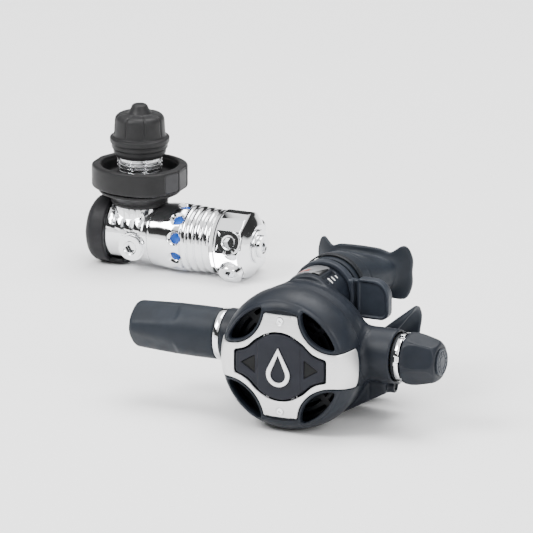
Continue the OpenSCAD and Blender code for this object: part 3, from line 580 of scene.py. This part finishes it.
def cover_skin(x, y, z):
    out = from_dome(x, y, z)
    r = np.hypot(x, z)
    lift = COVER_LIFT * np.clip((z + 35) / 7, 0, 1)
    ring = within(np.maximum(out - lift, -out - COVER_WALL), y - RING_BACK, 0.3)
    ring = carve(ring, within(bezel_plan(x, z) - 0.45, -0.15 - out, 0.1), 0.25)
    ring = within(ring, -(button_plan(x, z) - 0.05), 0.1)
    lens = within(from_windows(x, z, COVER_WINDOW_R), r - WINDOW_EDGE, 2.2)
    lens = np.where(y < -19, lens, 9.0)
    lip = within(np.abs(lens - 0.55) - 0.55, np.abs(out - COVER_LIFT + 0.4) - 0.75, 0.5)
    ring = melt(ring, lip, 0.5)
    ring = carve(ring, lens, 1.1)
    ring = np.maximum(ring, -within(button_plan(x, z) - 0.02, y + 18, 0.1))
    for side in (1, -1):
        ring = np.maximum(ring, SCREW_HOLE_R - np.hypot(x, z - side * SCREW_Z))
    line = 0.16 * np.exp(-((r - 32.2) / 0.28) ** 2) * (y < -19)
    return within(ring + line, y - RING_BACK, 0.2)


cover_at = second - Vector((0, 0, COVER_DROP * MM))
cover = mould("front_cover_ring", cover_skin, (-37.5, -38, -37.5), (37.5, -15, 37.5), 0.5,
              cover_at)
place_piece(cover, "second_stage", "case_plastic", case_plastic, "cover_ring")
dark_plastic = moulded("moulded_black_nylon", "#0D1015", "#12161B", 0.5, 0.5, 0.03)
dress("vent_grille", dark_plastic, 0)
dress("barrel_gland", dark_plastic, 0.2 * MM)
dress("case_lock_pin", dark_plastic, 0.2 * MM)

# ---------------------------------------------------------------------------
# Bezel: pressed from stainless steel sheet, satin finished, and held by two small screws.
# Its two arms wrap round the shoulder of the cover.
# ---------------------------------------------------------------------------

BRUSH_MARK = 0.25   # mm across one stroke, drawn as coarse as it needs to show
SHEET_FACE = 1.1
ARM_CORNER = 3.8


def satin_steel():
    """Satin stainless steel: even and pale, with fine strokes that run across the front."""
    material, shader = new_material("satin_brushed_stainless_steel", Metallic=0.85)
    place = add(material, "TexCoord").outputs["Object"]
    stretch = add(material, "Mapping", {"Vector": place, "Scale": (0.04, 1.0, 1.0)})
    strokes = add(material, "TexNoise", {"Vector": stretch.outputs["Vector"],
                                         "Scale": per_mm(BRUSH_MARK), "Detail": 3.0})
    tone = add(material, "ValToRGB", {"Fac": strokes.outputs["Fac"]})
    sheen = add(material, "ValToRGB", {"Fac": strokes.outputs["Fac"]})
    bump = add(material, "Bump", {"Height": strokes.outputs["Fac"], "Strength": 0.12,
                                  "Distance": 0.02 * MM})
    feed(material, shader, Base_Color=ramp(tone, linear("#D9D9DA"), linear("#E9E9EA"), 0.3, 0.7),
         Roughness=ramp(sheen, grey(0.36), grey(0.5), 0.3, 0.7),
         Normal=bump.outputs["Normal"])
    return material


def bezel_skin(x, y, z):
    out = from_dome(x, y, z)
    plan = bezel_plan(x, z)
    corner = np.hypot(np.maximum(np.abs(z) - 7.2, 0), np.maximum(y + 24.2, 0)) - ARM_CORNER
    plan = within(plan, np.where(np.abs(x) > 28, corner, -9), 0.1)
    sheet = within(plan, between(out, 0.05, SHEET_FACE), 0.55)
    sheet = carve(sheet, button_plan(x, z) - 0.1, 0.3)
    for side in (1, -1):
        hole = np.hypot(x, z - side * SCREW_Z)
        sheet = carve(sheet, hole - 1.3 - np.clip(out - 0.1, 0, 1.3), 0.15)
    return sheet


steel_sheet = satin_steel()
bezel = mould("cover_bezel", bezel_skin, (-38.5, -38, -25), (38.5, -19.5, 25), 0.4, cover_at)
place_piece(bezel, "second_stage", "satin_silver", steel_sheet, "bezel")
dress("bezel_screws", chrome, 0.15 * MM)

# ---------------------------------------------------------------------------
# Purge button and its emblem: a soft-touch moulding that pushes the diaphragm in.
# The middle stands a little proud, and an arrow is sunk in each side. The emblem is a
# satin water drop, pressed in.
# ---------------------------------------------------------------------------

BUTTON_FACE, BUTTON_MIDDLE = -35.75, -36.45
BUTTON_SKIRT, BUTTON_FLANGE = -30, -29.7
STEM_R, STEM_BACK = 4.5, -17.5


def button_face(x, z):
    """How far back the button's face is: its middle stands proud, and its ends fall away."""
    middle = np.clip((11.6 - np.abs(x)) / 0.7, 0, 1)
    return BUTTON_FACE + (BUTTON_MIDDLE - BUTTON_FACE) * middle + (x * x + z * z) / 900


def from_arrows(x, z):
    return outline(np.abs(x), z, [(13.2, -4.3), (13.2, 4.3), (20.2, 0.0)]) - 0.2


def button_skin(x, y, z):
    r = np.hypot(x, z)
    face = button_face(x, z)
    button = within(button_plan(x, z) + 0.95, between(y, face, BUTTON_SKIRT), 0.8)
    flange = within(button_plan(x, z) - 1.0, between(y, -31, BUTTON_FLANGE), 0.2)
    button = np.minimum(button, flange)
    button = carve(button, within(from_arrows(x, z), y - face - 1.2, 0.1), 0.25)
    stem = within(r - STEM_R, between(y, BUTTON_SKIRT, STEM_BACK), 0.3)
    return np.minimum(button, stem)


soft_touch = moulded("soft_touch_elastomer", "#13151C", "#181A22", 0.55, 0.4, 0.03)
button = mould("purge_button_pad", button_skin, (-25.5, -37.5, -18.5), (25.5, -17, 18.5), 0.4,
               cover_at)
place_piece(button, "purge_unit", "button_plastic", soft_touch, "purge_button")


# A near-black sheet lies on the floor of each sunk arrow, darker than the button's own colour. It
# is painted shade in the recess.
def arrows_skin(x, y, z):
    depth = y - button_face(x, z)
    return within(from_arrows(x, z) + 0.1, between(depth, 0.5, 1.1), 0.2)


arrows = mould("purge_arrow_painted_shade", arrows_skin, (-21, -36, -5), (21, -33, 5), 0.25, cover_at)
arrow_painted_shade = moulded("painted_arrow_shade", "#040506", "#08090A", 0.55, 0.4, 0.02)
place_piece(arrows, "purge_unit", "button_plastic", arrow_painted_shade)
dress("emblem", steel_sheet, 0.15 * MM)
diaphragm_silicone = moulded("moulded_silicone", "#14171B", "#191D22", 0.55, 0.5, 0.03)
dress("diaphragm", diaphragm_silicone, 0)
dress("exhaust_valve", diaphragm_silicone, 0)
dress("venturi_vane", dark_plastic, 0)

# ---------------------------------------------------------------------------
# Adjustment knob: moulded nylon with six broad flats parted by thin ribs, and an end disc.
# It turns the screw that loads the poppet spring.
# ---------------------------------------------------------------------------

knob_line = [(53.1, 4.5), (53.1, 11.9), (53.9, 12.75), (56.5, 12.95), (61.5, 12.5), (66, 11.4),
             (68.6, 10.2), (69.9, 8.9), (70.35, 7.6), (70.35, -1), (64, -1), (64, 4.3), (56, 4.3),
             (56, 9.4), (53.1, 9.4)]
KNOB_FLATS = 6


def knob_skin(x, y, z):
    r = np.hypot(y, z)
    knob = outline(x, r, knob_line)
    turn = np.arctan2(z, -y)
    sector = ((turn / (2 * math.pi / KNOB_FLATS) + 0.15) % 1 - 0.5) * 2 * math.pi / KNOB_FLATS
    flat_at = 12.1 - 0.2 * np.clip(x - 55, 0, 20)
    knob = within(knob, (r * np.cos(sector) - flat_at) * 0.97, 0.2)
    seam = np.abs(r * np.sin(math.pi / KNOB_FLATS - np.abs(sector)))
    line = 0.3 * np.exp(-(seam / 0.3) ** 2) * np.clip((x - 55) / 1.5, 0, 1) * (x < 67)
    ring = 0.25 * np.exp(-((r - 7.2) / 0.25) ** 2) * (x > 70)
    return knob + line + ring


knob = mould("adjustment_knob", knob_skin, (52.5, -13.5, -13.5), (71, 13.5, 13.5), 0.4, second)
place_piece(knob, "knob_unit", "case_plastic", case_plastic, "adjust_knob")


def disc_skin(x, y, z):
    r = np.hypot(y, z)
    turn = np.arctan2(z, y)
    marks = np.abs((turn / (math.pi / 6)) % 1 - 0.5) * math.pi / 6 * r
    disc = within(r - 6.7, between(x, 70.3, 71.25), 0.2)
    sunk = 0.3 * np.exp(-((r - 5.6) / 0.3) ** 2) + 0.25 * np.exp(-((r - 3.2) / 0.3) ** 2)
    tick = 0.3 * np.exp(-(marks / 0.25) ** 2) * ((r > 3.6) & (r < 5.2))
    return disc + (sunk + tick) * (x > 70.8)


disc_plastic = moulded("moulded_grey_disc", "#23272E", "#2A2F37", 0.4, 0.4, 0.02)
disc = mould("knob_end_disc", disc_skin, (70, -7, -7), (71.4, 7, 7), 0.2, second)
place_piece(disc, "knob_unit", "button_plastic", disc_plastic, "knob_end_plate")

# ---------------------------------------------------------------------------
# Hose protector: a soft silicone sleeve, moulded, pulled over the hose end and its nut.
# Its left half has four long flats that turn round near the middle.
# ---------------------------------------------------------------------------

SLEEVE_LEFT, SLEEVE_RIGHT = -93.0, -46.3
sleeve_line = ([(SLEEVE_LEFT + 0.2, 6.2)] + swept(SLEEVE_LEFT + 3.6, 8.2, 3.4, 180, 90, 6)
               + [(-81, 12.0), (-70, 12.55), (-58, 12.75), (-47, 12.7), (SLEEVE_RIGHT, 12.2),
                  (SLEEVE_RIGHT, 10.3), (-62, 10.3), (-62.5, 7.5), (-81, 7.5), (-81, 6.2)])


def sleeve_skin(x, y, z):
    r = np.hypot(y, z)
    sleeve = outline(x, r, sleeve_line)
    turn = np.arctan2(z, -y) - math.radians(8)
    sector = ((turn / (math.pi / 2)) % 1 - 0.5) * math.pi / 2
    flat_at = 9.4 + 0.095 * (x - SLEEVE_LEFT) + 3.2 * np.clip((x + 69) / 5, 0, 1) ** 2
    return within(sleeve, (r * np.cos(sector) - flat_at) * 0.97, 1.0)


silicone = moulded("moulded_soft_silicone", "#161B22", "#1C222A", 0.52, 0.6, 0.03)
sleeve = mould("hose_sleeve", sleeve_skin, (-93.2, -13, -13), (-46, 13, 13), 0.5, second)
place_piece(sleeve, "protector_unit", "soft_silicone", silicone, "hose_protector")

# ---------------------------------------------------------------------------
# Neck: the venturi lever, the label and its marks.
# The lever is moulded nylon and turns on the neck. The label is a printed polyester film.
# ---------------------------------------------------------------------------

LEVER_FRONT, LEVER_BACK, LEVER_HUB_R = 16.7, 22.0, 16.5
neck_at = second + Vector((0, 0, NECK_Z * MM))


def lever_skin(x, y, z):
    r = np.hypot(x, z)
    hub = within(r - LEVER_HUB_R, between(y, LEVER_FRONT + 0.6, LEVER_BACK), 0.8)
    corner = np.where(x > 26, np.where(z > 0, 8.6, 4.6), 1.8)
    across, up = np.abs(x - 26.6) - 8.4 + corner, np.abs(z) - 10 + corner
    plan = (np.hypot(np.maximum(across, 0), np.maximum(up, 0))
            + np.minimum(np.maximum(across, up), 0) - corner)
    paddle = within(plan, between(y, LEVER_FRONT, LEVER_BACK), 0.9)
    paddle = carve(paddle, within(plan + 1.5, y - LEVER_FRONT - 0.7, 0.4), 0.5)
    ridge = within(within(between(x, 13.0, 16.0), np.abs(z) - 8.8, 1.2),
                   between(y, LEVER_FRONT - 0.1, LEVER_BACK), 1.0)
    web = within(within(between(x, 14, 20), np.abs(z) - 8.4, 0.6),
                 between(y, LEVER_FRONT + 2.2, LEVER_BACK), 0.4)
    lever = melt(np.minimum(hub, np.minimum(ridge, web)), paddle, 0.6)
    return np.maximum(lever, NECK_R + 0.15 - r)


lever = mould("venturi_lever_paddle", lever_skin, (-17, 16, -17), (35.5, 22.5, 17), 0.4, neck_at)
# The lever's nylon is lighter than the case's, as the paddle looks. Part of that lightness is
# painted light, which lifts the shade that the cover casts on the paddle's recess.
lever_nylon_painted_lighter = moulded("lever_nylon_with_painted_light", "#22262D", "#2A2F37", 0.42, 0.5, 0.03)
place_piece(lever, "venturi_unit", "case_plastic", lever_nylon_painted_lighter, "venturi_lever")


LABEL_SLANT = 0.36


def printed_film():
    """Printed polyester film: silver, smooth under a clear coat, with one red bar and a
    black corner whose edge slants."""
    material, shader = new_material("printed_polyester_film", Metallic=0.35, Coat_Weight=0.4,
                                    Coat_Roughness=0.15)
    place = add(material, "TexCoord").outputs["Object"]
    flakes = add(material, "TexNoise", {"Vector": place, "Scale": per_mm(0.5), "Detail": 3.0})
    silver = add(material, "ValToRGB", {"Fac": flakes.outputs["Fac"]})
    parts = add(material, "SeparateXYZ", {"Vector": place})

    def past(value, limit, side="GREATER_THAN"):
        return add(material, "Math", {0: value, 1: limit}, operation=side).outputs[0]

    def both(a, b):
        return add(material, "Math", {0: a, 1: b}, operation="MULTIPLY").outputs[0]

    x, y = parts.outputs["X"], parts.outputs["Y"]
    across = both(past(x, neck_at.x - 8.5 * MM), past(x, neck_at.x - 2.5 * MM, "LESS_THAN"))
    along = both(past(y, neck_at.y + 5.2 * MM), past(y, neck_at.y + 8.6 * MM, "LESS_THAN"))
    slant = add(material, "VectorMath", {0: place, 1: (1, -LABEL_SLANT, 0)},
                operation="DOT_PRODUCT").outputs["Value"]
    corner = past(slant, neck_at.x - LABEL_SLANT * neck_at.y - 0.3 * MM)
    printed = add(material, "Mix", {"Factor": both(across, along),
                                    "A": ramp(silver, linear("#6E6F71"), linear("#8A8B8E")),
                                    "B": linear("#A8321F")}, data_type="RGBA")
    colour = add(material, "Mix", {"Factor": corner, "A": printed.outputs["Result"],
                                   "B": linear("#0F1114")}, data_type="RGBA")
    polish = add(material, "ValToRGB", {"Fac": flakes.outputs["Fac"]})
    feed(material, shader, Base_Color=colour.outputs["Result"],
         Roughness=ramp(polish, grey(0.28), grey(0.42)))
    return material


dress("label_plate", printed_film(), 0.1 * MM)
MARK_TURN, MARK_Y, MARK_STEP = 50, 5.4, 3.6


def marks_skin(x, y, z):
    r = np.hypot(x, z)
    turn = np.degrees(np.arctan2(z, x))
    marks = None
    for k, half in ((0, 1.7), (1, 1.3), (2, 0.9)):
        across = np.abs(turn - MARK_TURN) * math.pi / 180 * NECK_R - half
        mark = within(np.maximum(across, np.abs(y - MARK_Y - MARK_STEP * k) - 0.4),
                      between(r, 13.9, 14.34), 0.1)
        marks = mark if marks is None else np.minimum(marks, mark)
    return marks


print_ink = moulded("screen_printed_white_ink", "#E8E8E6", "#DCDCDA", 0.4, 0.4, 0.01)
marks = mould("lever_position_marks", marks_skin, (7.4, 4.8, 8.8), (10.9, 13.2, 12.4), 0.14,
              neck_at)
place_piece(marks, "second_stage", "white_plastic", print_ink)

# ---------------------------------------------------------------------------
# Mouthpiece and its clamp: soft silicone, moulded in one piece, with a lip flange that
# bends round the teeth and two bite tabs. A nylon cable tie holds it on the neck.
# ---------------------------------------------------------------------------

FLANGE_R, FLANGE_FRONT, FLANGE_T = 43.8, 59.0, 2.4
TUBE_FRONT, TUBE_WALL = 24.5, 3.0
TUBE_BORE, BORE_BACK = 13.3, 36.3
TAB_X, TAB_HALF = 19.5, 3.8
lip_corners = [(-24.3, 0), (-24.6, 6), (-23, 11.4), (-21, 12.9), (-18.6, 11.4), (-15.2, 9.6),
               (-10, 11.6), (0, 12.3), (10, 11.6), (15.2, 9.6), (18.6, 11.4), (21, 12.9),
               (23, 11.4), (24.6, 6), (24.3, 0), (24.4, -6.6), (22.8, -11.8), (20.6, -12.9),
               (15, -11.8), (8, -10.1), (0, -9.6), (-8, -10.1), (-15, -11.8), (-20.6, -12.9),
               (-22.8, -11.8), (-24.4, -6.6)]


def smooth_line(corners, steps):
    """A closed curve that runs through every corner."""
    line = []
    for i in range(len(corners)):
        a, b, c, d = (np.array(corners[(i + k) % len(corners)]) for k in (-1, 0, 1, 2))
        for t in np.arange(steps) / steps:
            line.append(tuple(0.5 * (2 * b + (c - a) * t + (2 * a - 5 * b + 4 * c - d) * t ** 2
                                     + (3 * b - a - 3 * c + d) * t ** 3)))
    return line


lip_line = smooth_line(lip_corners, 4)


def tube(x, y, z, wall):
    """The mouthpiece's tube, from the round neck to the flat mouth, less a wall."""
    s = np.clip((y - 36) / 24, 0, 1)
    s = s * s * (3 - 2 * s)
    half_w = 16.0 + 3.4 * s - wall
    half_h = 16.0 - 6.8 * s - wall
    power = 2 + 0.8 * s
    q = (np.abs(x / half_w) ** power + np.abs(z / half_h) ** power) ** (1 / power)
    return (q - 1) * half_h * 0.9


def mouthpiece_skin(x, y, z):
    bend = np.hypot(x, y - FLANGE_FRONT - FLANGE_R - 0.6)
    bend = np.where(y < 80, bend, FLANGE_R + 9)
    body = within(tube(x, y, z, 0), np.maximum(TUBE_FRONT - y, FLANGE_R - 1.2 - bend), 0.6)
    body = np.where(y < 72, body, 9.0)
    lips = within(between(bend, FLANGE_R - FLANGE_T, FLANGE_R), outline(x, z, lip_line) - 0.7, 1.0)
    body = melt(body, lips, 3.0)
    tabs = within(within(np.abs(np.abs(x) - TAB_X) - TAB_HALF, np.abs(z) - 1.5, 0.8),
                  between(y, 61, 71), 0.8)
    ends = within(within(np.abs(np.abs(x) - TAB_X) - TAB_HALF, np.abs(z) - 4.1, 1.0),
                  between(y, 69.7, 71.9), 0.8)
    tabs = within(np.minimum(tabs, ends), bend - FLANGE_R + 0.8, 0.2)
    body = melt(body, tabs, 1.0)
    seam = 0.22 * np.exp(-((y - 40) / 0.6) ** 2)
    bore = within(tube(x, y, z, TUBE_WALL), -(y - 36.2), 0.4)
    body = carve(body + seam, bore, 0.8)
    return carve(body, within(np.hypot(x, z) - TUBE_BORE, y - BORE_BACK, 0.3), 0.3)


mouthpiece = mould("silicone_mouthpiece", mouthpiece_skin, (-26, 24, -17), (26, 73, 17), 0.6,
                   neck_at)
place_piece(mouthpiece, "second_stage", "soft_silicone", silicone, "mouthpiece")
dress("mouthpiece_clamp", dark_plastic, 0.4 * MM)

# ---------------------------------------------------------------------------
# Exhaust tee: soft silicone, moulded, pushed over the exhaust valve seat. Its two wings
# lead the bubbles away from the face and end in tall scoops that lean back.
# ---------------------------------------------------------------------------

TEE_BOTTOM, TEE_FRONT = -36.4, 27.15
TEE_WALL = 2.0
COLLAR_R, COLLAR_BORE = 14.5, 12.6
MOUTH_LEAN = math.radians(20)


def wing_place(x, y, z):
    """How far out along a wing a place is, then its place across the wing and up it."""
    t = np.clip((np.abs(x) - 8.5) / 26, 0, 1.06)
    lean = MOUTH_LEAN * t
    dy, dz = y - (35.55 + 7.95 * t), z - (-24.35 + 15.85 * t)
    return t, dy * np.cos(lean) - dz * np.sin(lean), dy * np.sin(lean) + dz * np.cos(lean)


def wing(x, y, z, wall):
    """One wing and its mirror image, from the middle out to the tall mouth, less a wall."""
    t, across, up = wing_place(x, y, z)
    half_a = 8.4 - 0.45 * t - wall
    half_b = 11.95 + 7.2 * t - wall
    corner = np.minimum(3.0 + 4.0 * t, half_a)
    qa, qb = np.abs(across) - half_a + corner, np.abs(up) - half_b + corner
    return (np.hypot(np.maximum(qa, 0), np.maximum(qb, 0))
            + np.minimum(np.maximum(qa, qb), 0) - corner) * 0.92


def tee_skin(x, y, z):
    across = wing_place(x, y, z)[1]
    cut_back = 0.66 * np.clip(9 - z, 0, 15) * np.clip(0.5 - across / 12, 0, 1)
    cut_back = cut_back + 0.4 * np.clip(-6 - z, 0, 20)
    outside = within(wing(x, y, z, 0), (np.abs(x) - 36.2 + cut_back) * 0.8, 0.7)
    outside = within(outside, TEE_FRONT - y, 0.4)
    valve = np.hypot(x, z - VALVE_Z)
    collar = within(valve - COLLAR_R, between(y, TEE_FRONT, 30), 0.4)
    outside = melt(outside, collar, 0.8)
    inside = np.maximum(wing(x, y, z, TEE_WALL), 29.1 - y)
    tee = carve(outside, inside, 0.6)
    tee = np.maximum(tee, -np.maximum(valve - COLLAR_BORE, y - 32))
    return within(tee, TEE_BOTTOM + 0.03 - z, 0.3)


tee = mould("exhaust_tee_wings", tee_skin, (-36.8, 26.5, -37), (36.8, 60, 14), 0.55, second)
place_piece(tee, "second_stage", "soft_silicone", silicone, "exhaust_tee")

# ---------------------------------------------------------------------------
# Camera, floor and light: a plain pale table in a soft white studio, with a dark band
# above the horizon that gives the chrome its black streaks.
# ---------------------------------------------------------------------------

AZIMUTH = math.radians(24.2)
ELEVATION = math.radians(16.5)
CAMERA_REACH = 6.0
LENS = 814.0
aim = Vector((0.00347, 0.0022, 0.04199))
away = Vector((math.sin(AZIMUTH) * math.cos(ELEVATION),
               -math.cos(AZIMUTH) * math.cos(ELEVATION), math.sin(ELEVATION)))
lens = bpy.data.cameras.new("camera")
lens.lens = LENS
lens.clip_end = 50
camera = bpy.data.objects.new("camera", lens)
camera.location = aim + CAMERA_REACH * away
camera.rotation_euler = away.to_track_quat("Z", "Y").to_euler()
bpy.context.scene.collection.objects.link(camera)
bpy.context.scene.camera = camera

FLOOR_HALF = 6.0
floor_mesh = bpy.data.meshes.new("table_top")
floor_mesh.from_pydata([(-FLOOR_HALF, -FLOOR_HALF, 0), (FLOOR_HALF, -FLOOR_HALF, 0),
                        (FLOOR_HALF, FLOOR_HALF, 0), (-FLOOR_HALF, FLOOR_HALF, 0)],
                       [], [(0, 1, 2, 3)])
floor = bpy.data.objects.new("table_top", floor_mesh)
bpy.context.scene.collection.objects.link(floor)
paper, paper_shader = new_material("white_backdrop_paper", Base_Color=linear("#F7F7F7"),
                                   Roughness=0.9)
paper_shader.inputs["Specular IOR Level"].default_value = 0.1
floor_mesh.materials.append(paper)

world = bpy.data.worlds.new("studio")
bpy.context.scene.world = world
world.use_nodes = True
backdrop = world.node_tree.nodes["Background"]
way = add(world, "TexCoord").outputs["Generated"]
rise = add(world, "SeparateXYZ", {"Vector": way}).outputs["Z"]
bands = add(world, "ValToRGB", {"Fac": rise})
levels = bands.color_ramp
levels.elements[0].position, levels.elements[0].color = 0.0, grey(1.0)
levels.elements[1].position, levels.elements[1].color = 1.0, grey(1.0)
for place, level in ((0.10, 0.95), (0.20, 0.03), (0.48, 0.015), (0.62, 0.7)):
    levels.elements.new(place).color = grey(level)
world.node_tree.links.new(bands.outputs["Color"], backdrop.inputs["Color"])
backdrop.inputs["Strength"].default_value = 2.0


def softbox(name, place, towards, width, power):
    """A square studio light that faces a point."""
    light = bpy.data.lights.new(name, "AREA")
    light.shape = "SQUARE"
    light.size = width
    light.energy = power
    lamp = bpy.data.objects.new(name, light)
    lamp.location = place
    lamp.rotation_euler = (Vector(place) - Vector(towards)).to_track_quat("Z", "Y").to_euler()
    bpy.context.scene.collection.objects.link(lamp)


softbox("key_softbox", (-0.9, -1.1, 1.5), (0, 0, 0.03), 0.9, 42)
softbox("fill_softbox", (1.4, -0.9, 0.9), (0, 0, 0.03), 0.8, 18)
softbox("top_softbox", (0.1, 0.5, 1.7), (0, 0, 0.03), 1.2, 36)
